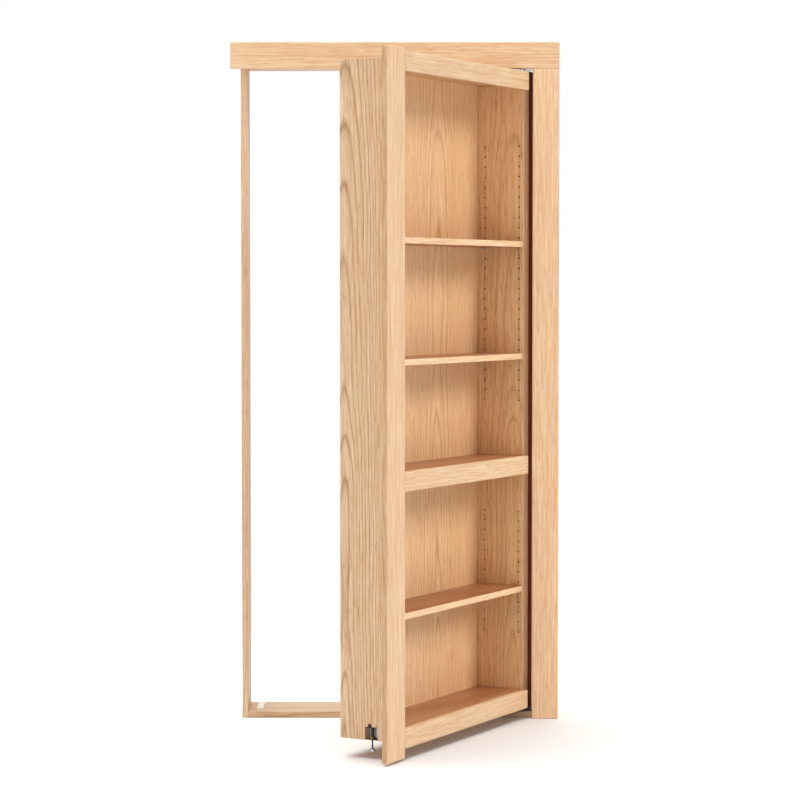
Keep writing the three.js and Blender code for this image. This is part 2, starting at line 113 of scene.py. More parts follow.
class OakSettings(bpy.types.PropertyGroup):
    """Colours and grain of the oak."""

    face: colour("Face boards", "Early wood of the trim, the rails and the casings", "#EDC99E")
    face_line: colour("Face lines", "Late wood of the trim, the rails and the casings", "#CB9762")
    side: colour("Sides", "Early wood of the sides and of the door frame", "#EECBA2")
    side_line: colour("Side lines", "Late wood of the sides and of the door frame", "#A9733F")
    inside: colour("Inside", "Early wood of the back and of the top", "#E9BE8C")
    inside_line: colour("Inside lines", "Late wood of the back and of the top", "#AE7340")
    liner: colour("Liners", "Early wood of the bored liners", "#D8B384")
    liner_line: colour("Liner lines", "Late wood of the bored liners", "#9F6B3B")
    # The shelf colour is the oak darkened and reddened by painted shade, for shelf tops that lie in
    # the case's shade
    shelf: colour("Shelves", "Early wood of the shelves and of the bottom", "#9B5F33")
    shelf_line: colour("Shelf lines", "Late wood of the shelves and of the bottom", "#774724")
    # The packer's colour is a dark stain with painted shade in it, for the narrow gap beside the
    # hinge casing
    stained: colour("Packer", "Early wood of the stained packer", "#88361C")
    stained_line: colour("Packer lines", "Late wood of the stained packer", "#421A0B")
    rose: colour("Rose cast", "The pinkish cast of some parts of the wood", "#EBBC96")
    fibre_width: length("Fibre width", "Width of a bundle of fibres", 2.6)
    fibre_depth: length("Fibre depth", "Depth of the open grain", 0.12)


class HardwareSettings(bpy.types.PropertyGroup):
    """Finishes of the hardware, its screws and the thread of the foot."""

    zinc: colour("Zinc plating", "Pins, head plate, and the pad of the foot", "#C9CBCE")
    sheet: colour("Plated sheet", "Web of the foot's bracket", "#DADCDF")
    # The oxide colour is the real coat of the plates, rod and sleeve, and painted shade on the
    # bracket's flanges
    oxide: colour("Black oxide", "Pivot plates, and the foot's rod, sleeve and flanges", "#1F1D1C")
    brass: colour("Brass", "Bushes, thrust washer and nut", "#D9B35E")
    acetal: colour("Acetal", "Wear plate on the sill", "#FBFAF6")
    screw_head: length("Screw head", "Diameter of a screw head", 7.5)
    screw_rise: length("Screw rise", "How far a countersunk head stands up", 0.25)
    recess_width: length("Recess width", "Width of the arms of the cross recess", 1.1)
    recess_depth: length("Recess depth", "Depth of the cross recess", 1.4)
    thread_pitch: length("Thread pitch", "Pitch of the foot's thread", 1.25)
    thread_depth: length("Thread depth", "Depth of the foot's thread", 0.4)
    thread_sides: IntProperty(
        name="Thread sides", description="Points around the thread", default=20, min=8
    )


class StageSettings(bpy.types.PropertyGroup):
    """Camera, floor and lights."""

    camera_place: FloatVectorProperty(
        name="Camera", description="Place of the camera", subtype="TRANSLATION", unit="LENGTH",
        default=(0.02195, -7.86682, 1.36217),
    )
    camera_pitch: FloatProperty(
        name="Camera pitch", description="How far the camera looks down", subtype="ANGLE",
        default=math.radians(2.605),
    )
    camera_yaw: FloatProperty(
        name="Camera yaw", description="How far the camera turns right", subtype="ANGLE",
        default=math.radians(-0.062),
    )
    lens: FloatProperty(
        name="Lens", description="Focal length on a 36 mm sensor", unit="CAMERA", default=111.09
    )
    key_light: FloatProperty(
        name="Key light", description="Strength of the broad light on the right", default=1.64
    )
    fill_light: FloatProperty(
        name="Fill light", description="Strength of the soft light in front on the left",
        default=0.92,
    )
    top_light: FloatProperty(
        name="Top light", description="Strength of the soft light above and behind", default=3.4
    )
    room_light: FloatProperty(
        name="Room light", description="Strength of the white room", default=0.22
    )
    floor_light: FloatProperty(
        name="Floor light", description="Light on the open floor that no piece shades",
        default=0.09,
    )


def settings(group):
    """One group of settings, as the user left it."""
    return getattr(bpy.context.scene, "bookcase_" + group)


# Shader nodes and materials


def add_node(tree, kind, inputs=None, stops=(), **values):
    """Adds one shader node with its settings and colour stops, and sets or links its inputs.

    Inputs go by name, or by number where several share a name: a Mix node's colours are inputs 6
    and 7, and come out at output 2.
    """
    made = tree.nodes.new("ShaderNode" + kind)
    for name, value in values.items():
        setattr(made, name, value)
    for socket, value in (inputs or {}).items():
        if isinstance(value, bpy.types.NodeSocket):
            tree.links.new(value, made.inputs[socket])
        else:
            made.inputs[socket].default_value = value
    for index, (place, grey) in enumerate(stops):
        elements = made.color_ramp.elements
        element = elements[index] if index < len(elements) else elements.new(place)
        element.position = place
        element.color = (grey, grey, grey, 1.0)
    return made


def new_material(name):
    """A material with its node tree, its shader and a point's place, in metres."""
    made = bpy.data.materials.new(name)
    made.use_nodes = True
    tree = made.node_tree
    shader = tree.nodes["Principled BSDF"]
    return made, tree, shader, add_node(tree, "TexCoord").outputs["Object"]


def shared(make, name, *tones, **finish):
    """A material that several pieces share, made on first use."""
    return bpy.data.materials.get(name) or make(name, *tones, **finish)


def oak_grain():
    """A node group that cuts a board out of a tree: growth rings round a pith, fibres and pores.

    The board's own coordinates come in, in metres, with Z along the grain.
    """
    name = "oak grain"
    if name in bpy.data.node_groups:
        return bpy.data.node_groups[name]
    tree = bpy.data.node_groups.new(name, "ShaderNodeTree")
    face = tree.interface
    face.new_socket("Board", in_out="INPUT", socket_type="NodeSocketVector")
    for socket in ("Pith across", "Pith below", "Lean", "Ring", "Wave", "Seed"):
        face.new_socket(socket, in_out="INPUT", socket_type="NodeSocketFloat")
    for socket in ("Late wood", "Fibres", "Shade", "Pores", "Cast"):
        face.new_socket(socket, in_out="OUTPUT", socket_type="NodeSocketFloat")
    given = tree.nodes.new("NodeGroupInput").outputs
    result = tree.nodes.new("NodeGroupOutput")
    pattern = grain_patterns(tree, given)

    # The trunk isn't straight, so the rings sway along the board and quiver a little across it
    noise_middle = 0.5
    sway_reach = 3.0
    parts = add_node(tree, "SeparateXYZ", {0: given["Board"]}).outputs
    sway = add_node(
        tree, "Math", {0: pattern["sway"], 1: noise_middle}, operation="SUBTRACT"
    ).outputs[0]
    sway = add_node(tree, "Math", {0: sway, 1: sway_reach}, operation="MULTIPLY").outputs[0]
    quiver = add_node(
        tree, "Math", {0: pattern["quiver"], 1: noise_middle}, operation="SUBTRACT"
    ).outputs[0]
    across = add_node(
        tree, "Math", {0: parts[0], 1: given["Pith across"]}, operation="SUBTRACT"
    ).outputs[0]
    across = add_node(
        tree, "Math", {0: quiver, 1: given["Wave"], 2: across}, operation="MULTIPLY_ADD"
    ).outputs[0]
    below = add_node(
        tree, "Math", {0: parts[2], 1: given["Lean"], 2: given["Pith below"]},
        operation="MULTIPLY_ADD",
    ).outputs[0]
    below = add_node(
        tree, "Math", {0: sway, 1: given["Wave"], 2: below}, operation="MULTIPLY_ADD"
    ).outputs[0]
    below = add_node(tree, "Math", {0: below, 1: parts[1]}, operation="ADD").outputs[0]
    away = add_node(tree, "CombineXYZ", {0: across, 1: below}).outputs[0]
    radius = add_node(tree, "VectorMath", {0: away}, operation="LENGTH").outputs["Value"]

    # Good and bad years: over 45 mm of growth the rings come up to a few widths early or late
    years_span = 45 * MM
    years_reach = 2.4
    spot = add_node(tree, "CombineXYZ", {0: radius}).outputs[0]
    years = add_node(
        tree, "TexNoise", {"Vector": spot, "Scale": 1 / years_span, "Detail": 1.0}
    ).outputs["Fac"]
    rings = add_node(tree, "Math", {0: radius, 1: given["Ring"]}, operation="DIVIDE").outputs[0]
    rings = add_node(
        tree, "Math", {0: years, 1: years_reach, 2: rings}, operation="MULTIPLY_ADD"
    ).outputs[0]
    phase = add_node(tree, "Math", {0: rings}, operation="FRACT").outputs[0]
    # Within a year the wood darkens slowly, and starts light again with the next spring
    year = ((0.0, 0.35), (1.0, 0.35), (0.1, 0.0), (0.6, 0.0), (0.8, 0.3), (0.92, 1.0))
    ring_tone = add_node(tree, "ValToRGB", {0: phase}, stops=year).outputs[0]
    late = add_node(
        tree, "Math", {0: ring_tone, 1: pattern["broken"]}, operation="MULTIPLY"
    ).outputs[0]
    # Away from the middle of a wide board the rings are cut square on, and their lines grow fainter
    aside = add_node(tree, "Math", {0: across}, operation="ABSOLUTE").outputs[0]
    fading = add_node(
        tree, "MapRange",
        {"Value": aside, "From Min": 90 * MM, "From Max": 200 * MM, "To Min": 1.0, "To Max": 0.35},
    ).outputs[0]
    late = add_node(tree, "Math", {0: late, 1: fading}, operation="MULTIPLY").outputs[0]
    shade = add_node(
        tree, "Math", {0: pattern["fine"], 1: pattern["broad"]}, operation="ADD"
    ).outputs[0]
    for socket, value in (
        ("Late wood", late), ("Fibres", pattern["fibres"]), ("Shade", shade),
        ("Pores", pattern["pores"]), ("Cast", pattern["rosy"]),
    ):
        tree.links.new(value, result.inputs[socket])
    return tree


def grain_patterns(tree, given):
    """The noises behind the figure of an oak board, and what they come to, by name."""
    fibre = settings("oak").fibre_width / MM
    seed_step = 3.7
    pattern = {}
    # Each noise with its size across and along the grain in millimetres, and its detail. Fibres
    # and pores are drawn several times as coarse as in the real wood, so that they show in the
    # render
    for shift, (kind, across, along, detail) in enumerate((
        ("sway", 520.0, 620.0, 1.0),
        ("quiver", 75.0, 230.0, 2.0),
        ("fibres", fibre, 30.0 * fibre, 2.0),
        ("dashes", fibre, 14.0 * fibre, 1.0),
        ("streaks", 11.0, 420.0, 2.0),
        ("cast", 110.0, 420.0, 2.0),
    )):
        shrink = (1 / (across * MM), 1 / (across * MM), 1 / (along * MM))
        spot = add_node(
            tree, "VectorMath", {0: given["Board"], 1: shrink}, operation="MULTIPLY"
        ).outputs[0]
        seed = add_node(
            tree, "Math", {0: given["Seed"], 1: seed_step * shift}, operation="ADD"
        ).outputs[0]
        pattern[kind] = add_node(
            tree, "TexNoise", {"Vector": spot, "W": seed, "Scale": 1.0, "Detail": detail},
            noise_dimensions="4D",
        ).outputs["Fac"]

    # The part of a noise that counts, and what it becomes: streaks break the lines of the rings,
    # bundles of fibres and broad streaks are lighter or darker than the rest by some share, open
    # pores show as short dark dashes, and parts of the wood are rosy
    for name, kind, start, end, at_start, at_end in (
        ("broken", "streaks", 0.3, 0.65, 0.45, 1.0),
        ("fine", "fibres", 0.3, 0.7, -0.24, 0.15),
        ("broad", "streaks", 0.3, 0.7, -0.08, 0.07),
        ("pores", "dashes", 0.58, 0.7, 0.0, 1.0),
        ("rosy", "cast", 0.35, 0.68, 0.0, 1.0),
    ):
        pattern[name] = add_node(
            tree, "MapRange",
            {"Value": pattern[kind], "From Min": start, "From Max": end,
             "To Min": at_start, "To Max": at_end},
        ).outputs[0]
    return pattern


def drawn_box(node, in_door):
    """The lowest and the highest corner of a node as it was drawn, with the bookcase shut."""
    corners = [v.co for v in frame["nodes"][node].data.vertices]
    if in_door:
        corners = [SHUT_TURN @ (c - PIVOT) + PIVOT for c in corners]
    return [Vector([pick(c[i] for c in corners) for i in range(3)]) for pick in (min, max)]


def stood_open(place):
    """A place given in the shut bookcase, turned to where it is with the door standing open."""
    return SHUT_TURN.inverted() @ (place - PIVOT) + PIVOT


def board_place(node, lie, in_door):
    """The turn and shift that bring a point of the row frame into the board's own coordinates."""
    low, high = drawn_box(node, in_door)
    centre = (low + high) / 2
    if not in_door:
        return lie.copy(), -(lie @ centre)
    turn = lie @ SHUT_TURN
    return turn, lie @ (PIVOT - centre) - turn @ PIVOT


def oak(node, tone, lie, cut, in_door=True):
    """Red oak, planed and finished with a clear satin lacquer: honey coloured, with darker late
    wood lines, a slight rose cast and a soft sheen that the open grain breaks up. The packer's
    dark stain hides the rose cast and has no lacquer over it, so it is duller. Its colour also
    holds painted shade: it is darker and redder than the stain, for the shade of the narrow gap
    beside the hinge casing where it stands.

    Rings are drawn wider than the real 2 to 4 mm, as a pixel of the render is over 3 mm wide.
    """
    stained = tone == "stained"
    pore_darkness = 0.5
    rose_cast = 0.0 if stained else 0.3
    # Where the wood is darker it is browner too: red falls least and blue most
    browning = (0.5, 1.0, 1.4)
    smoothest, roughest = 0.38, 0.54

    look = settings("oak")
    early, line = getattr(look, tone), getattr(look, tone + "_line")
    made, tree, shader, place = new_material(f"lacquered oak {tone} " + node.replace("_", " "))
    turn, shift = board_place(node, lie, in_door)
    board = add_node(
        tree, "Mapping", {"Vector": place, "Location": shift, "Rotation": turn.to_euler("XYZ")},
        vector_type="POINT",
    ).outputs[0]
    grain = add_node(
        tree, "Group",
        {"Board": board, "Pith across": cut.across, "Pith below": cut.below, "Lean": cut.lean,
         "Ring": cut.ring * MM, "Wave": cut.wave * MM, "Seed": cut.seed},
        node_tree=oak_grain(),
    ).outputs
    late = add_node(
        tree, "Math", {0: grain["Late wood"], 1: cut.strength}, operation="MULTIPLY"
    ).outputs[0]
    lines = add_node(tree, "Mix", {0: late, 6: early, 7: line}, data_type="RGBA").outputs[2]
    cast = add_node(tree, "Math", {0: grain["Cast"], 1: rose_cast}, operation="MULTIPLY").outputs[0]
    rosy = add_node(tree, "Mix", {0: cast, 6: lines, 7: look.rose}, data_type="RGBA").outputs[2]
    tint = add_node(
        tree, "VectorMath", {0: grain["Shade"], 1: browning, 2: (cut.shade,) * 3},
        operation="MULTIPLY_ADD",
    ).outputs[0]
    fibrous = add_node(
        tree, "Mix", {0: 1.0, 6: rosy, 7: tint}, data_type="RGBA", blend_type="MULTIPLY"
    ).outputs[2]
    pores = add_node(
        tree, "Math", {0: grain["Pores"], 1: pore_darkness}, operation="MULTIPLY"
    ).outputs[0]
    final = add_node(tree, "Mix", {0: pores, 6: fibrous, 7: line}, data_type="RGBA").outputs[2]
    rough = add_node(
        tree, "MapRange", {"Value": grain["Fibres"], "To Min": smoothest, "To Max": roughest}
    ).outputs[0]
    height = add_node(
        tree, "Math", {0: grain["Fibres"], 1: grain["Pores"]}, operation="SUBTRACT"
    ).outputs[0]
    bump = add_node(
        tree, "Bump", {"Height": height, "Strength": 0.35, "Distance": look.fibre_depth}
    ).outputs[0]
    for socket, value in (("Base Color", final), ("Roughness", rough), ("Normal", bump)):
        tree.links.new(value, shader.inputs[socket])
    shader.inputs["IOR"].default_value = 1.5
    if stained:
        shader.inputs["Specular IOR Level"].default_value = 0.15
    else:
        shader.inputs["Coat Weight"].default_value = 0.12
        shader.inputs["Coat Roughness"].default_value = 0.35
    return made


def plain(name, base, dark, roughness, speck, gloss=0.5):
    """A matt or waxy surface with specks of a second tone, whose size is given in millimetres.
    gloss is the specular level, where 0.5 is that of the bare material.
    """
    depth = 0.05 * MM
    made, tree, shader, place = new_material(name)
    tooth = add_node(
        tree, "TexNoise", {"Vector": place, "Scale": 1 / (speck * MM), "Detail": 2.0}
    ).outputs["Fac"]
    mixed = add_node(
        tree, "Mix", {0: tooth, 6: base, 7: linear(dark)}, data_type="RGBA"
    ).outputs[2]
    bump = add_node(
        tree, "Bump", {"Height": tooth, "Strength": 0.1, "Distance": depth}
    ).outputs[0]
    tree.links.new(mixed, shader.inputs["Base Color"])
    tree.links.new(bump, shader.inputs["Normal"])
    shader.inputs["IOR"].default_value = 1.48
    shader.inputs["Specular IOR Level"].default_value = gloss
    shader.inputs["Roughness"].default_value = roughness
    return made


def metal(name, base, dark, roughness, mark):
    """A metal with fine irregularities, whose size along X, Y and Z is given in millimetres. They
    mix in up to half of the dark tone, and make the metal smoother or rougher by about a quarter.
    """
    depth = 0.05 * MM
    darkest = 0.5
    smoothest, roughest = 0.75, 1.3
    made, tree, shader, place = new_material(name)
    shrink = [1 / (size * MM) for size in mark]
    stretched = add_node(tree, "Mapping", {"Vector": place, "Scale": shrink}).outputs[0]
    flecks = add_node(
        tree, "TexNoise", {"Vector": stretched, "Scale": 1.0, "Detail": 3.0}
    ).outputs["Fac"]
    share = add_node(tree, "Math", {0: flecks, 1: darkest}, operation="MULTIPLY").outputs[0]
    mixed = add_node(
        tree, "Mix", {0: share, 6: base, 7: linear(dark)}, data_type="RGBA"
    ).outputs[2]
    rough = add_node(
        tree, "MapRange",
        {"Value": flecks, "To Min": roughness * smoothest, "To Max": roughness * roughest},
    ).outputs[0]
    bump = add_node(
        tree, "Bump", {"Height": flecks, "Strength": 0.15, "Distance": depth}
    ).outputs[0]
    for socket, value in (("Base Color", mixed), ("Roughness", rough), ("Normal", bump)):
        tree.links.new(value, shader.inputs[socket])
    shader.inputs["Metallic"].default_value = 1.0
    return made


def painted_hole_shade_oak():
    """Oak end grain inside a drilled hole, made near black as painted shade: the shade deep in the
    hole is painted into its colour, so that the hole reads as dark.
    """
    return shared(
        plain, "drilled oak end grain", linear("#100906"), "#0A0604",
        roughness=0.9, speck=0.8, gloss=0.05,
    )


def zinc_steel():
    """Cold rolled steel sheet and wire, zinc plated: light grey and satin, with a faint crystal
    mottle of about 1 mm.
    """
    return shared(
        metal, "zinc plated steel", settings("hardware").zinc, "#9FA3A8",
        roughness=0.32, mark=(1.1, 1.1, 3.3),
    )


def zinc_sheet():
    """Steel sheet, bent and then zinc plated: pale grey and dull, as the plating follows the
    mill's rough skin.
    """
    return shared(
        metal, "zinc plated sheet", settings("hardware").sheet, "#B6B9BE",
        roughness=0.6, mark=(2.0, 2.0, 2.0),
    )


def black_steel():
    """Turned steel with a thick black oxide coat, oiled. The coat and not the metal meets the
    light, so it is near black with a dull sheen.
    """
    return shared(
        plain, "black oxide steel", settings("hardware").oxide, "#141312",
        roughness=0.42, speck=0.8,
    )


def turned_brass():
    """Free cutting brass, turned and left bare: yellow, with turning marks that are drawn 0.4 mm
    apart, several times as coarse as the real ones, so that a close view shows them.
    """
    return shared(
        metal, "turned brass", settings("hardware").brass, "#A98238",
        roughness=0.28, mark=(3.3, 3.3, 0.4),
    )


def white_acetal():
    """White acetal, cut from sheet: smooth and waxy, with a very fine tooth of about 0.5 mm from
    the mill.
    """
    return shared(
        plain, "milled white acetal", settings("hardware").acetal, "#F3F1EB",
        roughness=0.42, speck=0.5,
    )


# The finish of each record slot that screws are made in
SCREW_FINISHES = {"zinc_steel": zinc_steel, "black_steel": black_steel}


# Meshes


def dress(node, material):
    """Gives a CAD node its material."""
    slots = frame["nodes"][node].data.materials
    slots.clear()
    slots.append(material)


def dress_some(node, material, chosen):
    """Gives a second material to the faces of a CAD node for which chosen(face) is true."""
    mesh = frame["nodes"][node].data
    mesh.materials.append(material)
    for face in mesh.polygons:
        if chosen(face):
            face.material_index = len(mesh.materials) - 1


def lip(node, material, facing, in_door=True):
    """Gives the faces of a board that look one way a second oak, as a lipping or an edge has its
    own grain; where that oak is made lighter or darker, it paints light or shade on that side.
    facing is a direction in the shut bookcase.
    """
    least_cosine = 0.6
    way = SHUT_TURN.inverted() @ Vector(facing) if in_door else Vector(facing)
    dress_some(node, material, lambda face: face.normal.dot(way) > least_cosine)


def paint_shade_in_holes(node):
    """Gives the walls of the pin holes the near black of painted hole shade. No other faces of a
    liner are so small, apart from those of the pocket at its foot.
    """
    largest_wall = 15 * MM * MM
    above_pocket = 150 * MM
    dress_some(
        node, painted_hole_shade_oak(),
        lambda face: face.area < largest_wall and face.center.z > above_pocket,
    )


def new_object(name, bm, material, body):
    """Turns a bmesh into a piece that rides on a body and takes the given finish."""
    mesh = bpy.data.meshes.new(name)
    bmesh.ops.recalc_face_normals(bm, faces=bm.faces)
    bm.to_mesh(mesh)
    bm.free()
    mesh.materials.append(material)
    made = bpy.data.objects.new(name, mesh)
    bpy.context.scene.collection.objects.link(made)
    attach(made, body)
    return made


def ring_of(bm, radius, z, sides):
    """One ring of vertices about Z. radius is a number, or a function of the angle."""
    made = []
    for i in range(sides):
        angle = 2 * math.pi * i / sides
        reach = radius(angle) if callable(radius) else radius
        made.append(bm.verts.new((reach * math.cos(angle), reach * math.sin(angle), z)))
    return made


def join_rings(bm, low, high):
    """Faces between two rings of as many vertices."""
    count = len(low)
    for i in range(count):
        bm.faces.new((low[i], low[(i + 1) % count], high[(i + 1) % count], high[i]))


def screw_head(bm, place, turn):
    """A countersunk head with a cross recess. It faces +Z before it is turned."""
    sides = 28
    rim_share = 0.94
    recess_share = 0.62
    recess_floor_share = 0.6
    hardware = settings("hardware")
    radius = hardware.screw_head / 2
    arm = hardware.recess_width / 2
    reach = radius * recess_share
    rise = hardware.screw_rise
    rim_low = ring_of(bm, radius, -rise, sides)
    rim_high = [bm.verts.new((v.co.x * rim_share, v.co.y * rim_share, rise)) for v in rim_low]
    outline = [
        (reach, -arm), (reach, arm), (arm, arm), (arm, reach), (-arm, reach), (-arm, arm),
        (-reach, arm), (-reach, -arm), (-arm, -arm), (-arm, -reach), (arm, -reach), (arm, -arm),
    ]
    mouth = [bm.verts.new((x, y, rise)) for x, y in outline]
    deep = rise - hardware.recess_depth
    floor = [
        bm.verts.new((x * recess_floor_share, y * recess_floor_share, deep)) for x, y in outline
    ]
    edges = []
    for loop in (rim_high, mouth):
        for a, b in zip(loop, loop[1:] + loop[:1]):
            edges.append(bm.edges.new((a, b)))
    bmesh.ops.triangle_fill(bm, edges=edges, use_beauty=True)
    join_rings(bm, rim_low, rim_high)
    join_rings(bm, floor, mouth)
    bm.faces.new(floor)
    bm.faces.new(rim_low)
    made = rim_low + rim_high + mouth + floor
    bmesh.ops.transform(bm, matrix=Matrix.Translation(place) @ turn.to_4x4(), verts=made)


def screws(name, places, facing, body, slot):
    """Several screw heads as one piece. Each stands at another angle, as a driver leaves them."""
    first_angle, angle_step = 12, 37
    way = Vector(facing).to_track_quat("Z", "Y").to_matrix()
    bm = bmesh.new()
    for index, place in enumerate(places):
        spin = Matrix.Rotation(math.radians(angle_step * index + first_angle), 3, "Z")
        screw_head(bm, place, way @ spin)
    return new_object(name, bm, SCREW_FINISHES[slot](), body)


# Operators


class BOOKCASE_OT_door_frame(bpy.types.Operator):
    """Oak for the jambs, the head, the sill and the casings"""

    bl_idname = "bookcase.door_frame"
    bl_label = "Door frame"

    def execute(self, context):
        for node, tone, lie, *cut in (
            ("latch_jamb", "side", SIDE_UPRIGHT, 0.03, 0.09, 0.02, 7.0, 14.0, 0.40, 1.0, 0.85),
            ("hinge_jamb", "side", SIDE_UPRIGHT, -0.04, 0.10, 0.02, 7.0, 14.0, 0.40, 2.0, 0.85),
            ("head_jamb", "side", FLAT_LEVEL, 0.02, 0.09, 0.02, 7.0, 14.0, 0.40, 3.0, 0.85),
            # The sill's low shade is painted shade on the sill below the head of the frame
            ("sill", "side", FLAT_LEVEL, -0.02, 0.08, 0.03, 8.0, 14.0, 0.45, 4.0, 0.75),
            ("header_casing", "face", FACE_LEVEL, 0.10, 0.05, 0.02, 9.0, 24.0, 0.12, 5.0, 0.96),
            ("hinge_casing", "face", FACE_UPRIGHT, 0.08, 0.05, 0.02, 9.0, 20.0, 0.30, 6.0, 1.03),
        ):
            dress(node, oak(node, tone, lie, Cut(*cut), in_door=False))
        # The nosing is made darker still: painted shade on the sill's front
        nosing = EDGE_CUT._replace(seed=32.0, shade=0.72)
        lip("sill", oak("sill", "side", FACE_LEVEL, nosing, in_door=False), FRONT, in_door=False)
        return {"FINISHED"}


class BOOKCASE_OT_case(bpy.types.Operator):
    """Oak for the boards of the case"""

    bl_idname = "bookcase.case"
    bl_label = "Case"

    def execute(self, context):
        for node, tone, lie, *cut in (
            # The packer's dark red-brown holds painted shade for the gap beside the hinge casing
            ("hinge_packer", "stained", SIDE_UPRIGHT, 0.05, 0.05, 0.03, 9.0, 20.0, 0.5, 30.0, 1.0),
            ("latch_side", "side", SIDE_UPRIGHT, 0.072, 0.045, 0.03, 8.5, 16.0, 1.0, 7.0, 0.84),
            ("hinge_side", "side", SIDE_UPRIGHT, -0.05, 0.04, 0.035, 10.0, 34.0, 0.9, 8.0, 0.94),
            ("latch_liner", "liner", SIDE_UPRIGHT, 0.02, 0.05, 0.03, 12.0, 26.0, 0.6, 9.0, 1.17),
            ("hinge_liner", "liner", SIDE_UPRIGHT, -0.05, 0.05, 0.03, 12.0, 26.0, 0.65, 10.0, 1.17),
            # The case top's low shade of 0.8 is painted shade for the top of the case
            ("case_top", "inside", FLAT_LEVEL, 0.05, 0.06, 0.02, 10.0, 20.0, 0.4, 11.0, 0.8),
            # The bottom and the fixed shelf take the shelf colour with its painted shade
            ("case_bottom", "shelf", FLAT_LEVEL, 0.02, 0.06, 0.02, 10.0, 20.0, 0.4, 12.0, 1.0),
            ("fixed_shelf", "shelf", FLAT_LEVEL, -0.03, 0.06, 0.02, 10.0, 20.0, 0.4, 13.0, 1.0),
            ("back_panel", "inside", FACE_UPRIGHT, 0.13, 0.07, 0.04, 12.0, 26.0, 0.85, 14.0, 1.06),
        ):
            dress(node, oak(node, tone, lie, Cut(*cut)))
        # The front edges beside the hinge casing take the face oak made lighter: light painted onto
        # a strip the casing shades
        front = EDGE_CUT._replace(seed=31.0, shade=1.15)
        for node in ("hinge_side", "hinge_liner"):
            lip(node, oak(node, "face", FACE_UPRIGHT, front), FRONT)
        # Painted shade in the pin holes of both liners
        for node in ("latch_liner", "hinge_liner"):
            paint_shade_in_holes(node)
        return {"FINISHED"}


class BOOKCASE_OT_face(bpy.types.Operator):
    """Oak for the trim board and the rails"""

    bl_idname = "bookcase.face"
    bl_label = "Trim and rails"

    def execute(self, context):
        for node, lie, *cut in (
            ("latch_trim", FACE_UPRIGHT, 0.07, 0.05, 0.02, 9.0, 20.0, 0.55, 15.0, 0.88),
            ("top_rail", FACE_LEVEL, 0.10, 0.05, 0.02, 9.0, 20.0, 0.12, 16.0, 0.84),
            ("middle_rail", FACE_LEVEL, -0.10, 0.05, 0.02, 9.0, 20.0, 0.35, 17.0, 0.88),
            ("bottom_rail", FACE_LEVEL, 0.12, 0.05, 0.02, 9.0, 20.0, 0.30, 18.0, 0.88),
        ):
            dress(node, oak(node, "face", lie, Cut(*cut)))
        # The trim's end takes the inside oak made darker: painted shade on the end that faces away
        # from the light
        edge = EDGE_CUT._replace(shade=0.75)
        lip("latch_trim", oak("latch_trim", "inside", SIDE_UPRIGHT, edge), LATCH_END)
        return {"FINISHED"}


class BOOKCASE_OT_shelves(bpy.types.Operator):
    """Oak for the three loose shelves"""

    bl_idname = "bookcase.shelves"
    bl_label = "Shelves"

    def execute(self, context):
        for node, pith_across, seed, front_seed in (
            ("shelf_upper", 0.03, 19.0, 25.0),
            ("shelf_second", 0.0, 20.0, 26.0),
            ("shelf_lower", -0.03, 21.0, 27.0),
        ):
            # The tops carry the painted shade of the shelf colour, while the front edges keep the
            # lighter face oak
            cut = Cut(pith_across, 0.06, 0.02, 10.0, 20.0, 0.40, seed, 1.0)
            dress(node, oak(node, "shelf", FLAT_LEVEL, cut))
            front = EDGE_CUT._replace(seed=front_seed)
            lip(node, oak(node, "face", FACE_LEVEL, front), FRONT)
        return {"FINISHED"}


class BOOKCASE_OT_shelf_pins(bpy.types.Operator):
    """Zinc plated steel for the shelf pins"""

    bl_idname = "bookcase.shelf_pins"
    bl_label = "Shelf pins"

    def execute(self, context):
        pins = [node for node in frame["nodes"] if node.startswith("shelf_") and "_pin_" in node]
        if not pins:
            raise RuntimeError("the packed model has no shelf pins")
        for node in pins:
            dress(node, zinc_steel())
        return {"FINISHED"}


class BOOKCASE_OT_pivots(bpy.types.Operator):
    """Steel and brass for the pivots, with the screws of their plates"""

    bl_idname = "bookcase.pivots"
    bl_label = "Pivots"

    def execute(self, context):
        for node in ("bottom_pivot_stud", "top_pivot_pin", "head_pivot_plate"):
            dress(node, zinc_steel())
        for node in ("sill_pivot_plate", "case_bottom_plate", "case_top_plate"):
            dress(node, black_steel())
        for node in ("bottom_thrust_washer", "bottom_bush", "top_bush"):
            dress(node, turned_brass())
        for node, upwards, body, slot in (
            ("sill_pivot_plate", 1, "frame", "black_steel"),
            ("head_pivot_plate", -1, "frame", "zinc_steel"),
            ("case_bottom_plate", -1, "door", "black_steel"),
            ("case_top_plate", 1, "door", "black_steel"),
        ):
            places = self.plate_screws(node, upwards, body == "door")
            screws(node + "_screws", places, (0, 0, upwards), body, slot)
        return {"FINISHED"}

    def plate_screws(self, node, upwards, in_door):
        """Two screws at half the depth of a plate and two near its back, on its open side."""
        inset = 9 * MM
        low, high = drawn_box(node, in_door)
        z = high.z if upwards > 0 else low.z
        places = [
            Vector((x, y, z))
            for y in (low.y + (high.y - low.y) / 2, high.y - inset)
            for x in (low.x + inset, high.x - inset)
        ]
        return [stood_open(place) for place in places] if in_door else places


class BOOKCASE_OT_wear_plate(bpy.types.Operator):
    """White acetal for the wear plate, with its two screws"""

    bl_idname = "bookcase.wear_plate"
    bl_label = "Wear plate"

    def execute(self, context):
        inset = 10 * MM
        dress("sill_wear_plate", white_acetal())
        low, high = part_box("sill_wear_plate")
        middle = (low.x + high.x) / 2
        places = [Vector((middle, y, high.z)) for y in (low.y + inset, high.y - inset)]
        screws("sill_wear_plate_screws", places, (0, 0, 1), "frame", "zinc_steel")
        return {"FINISHED"}


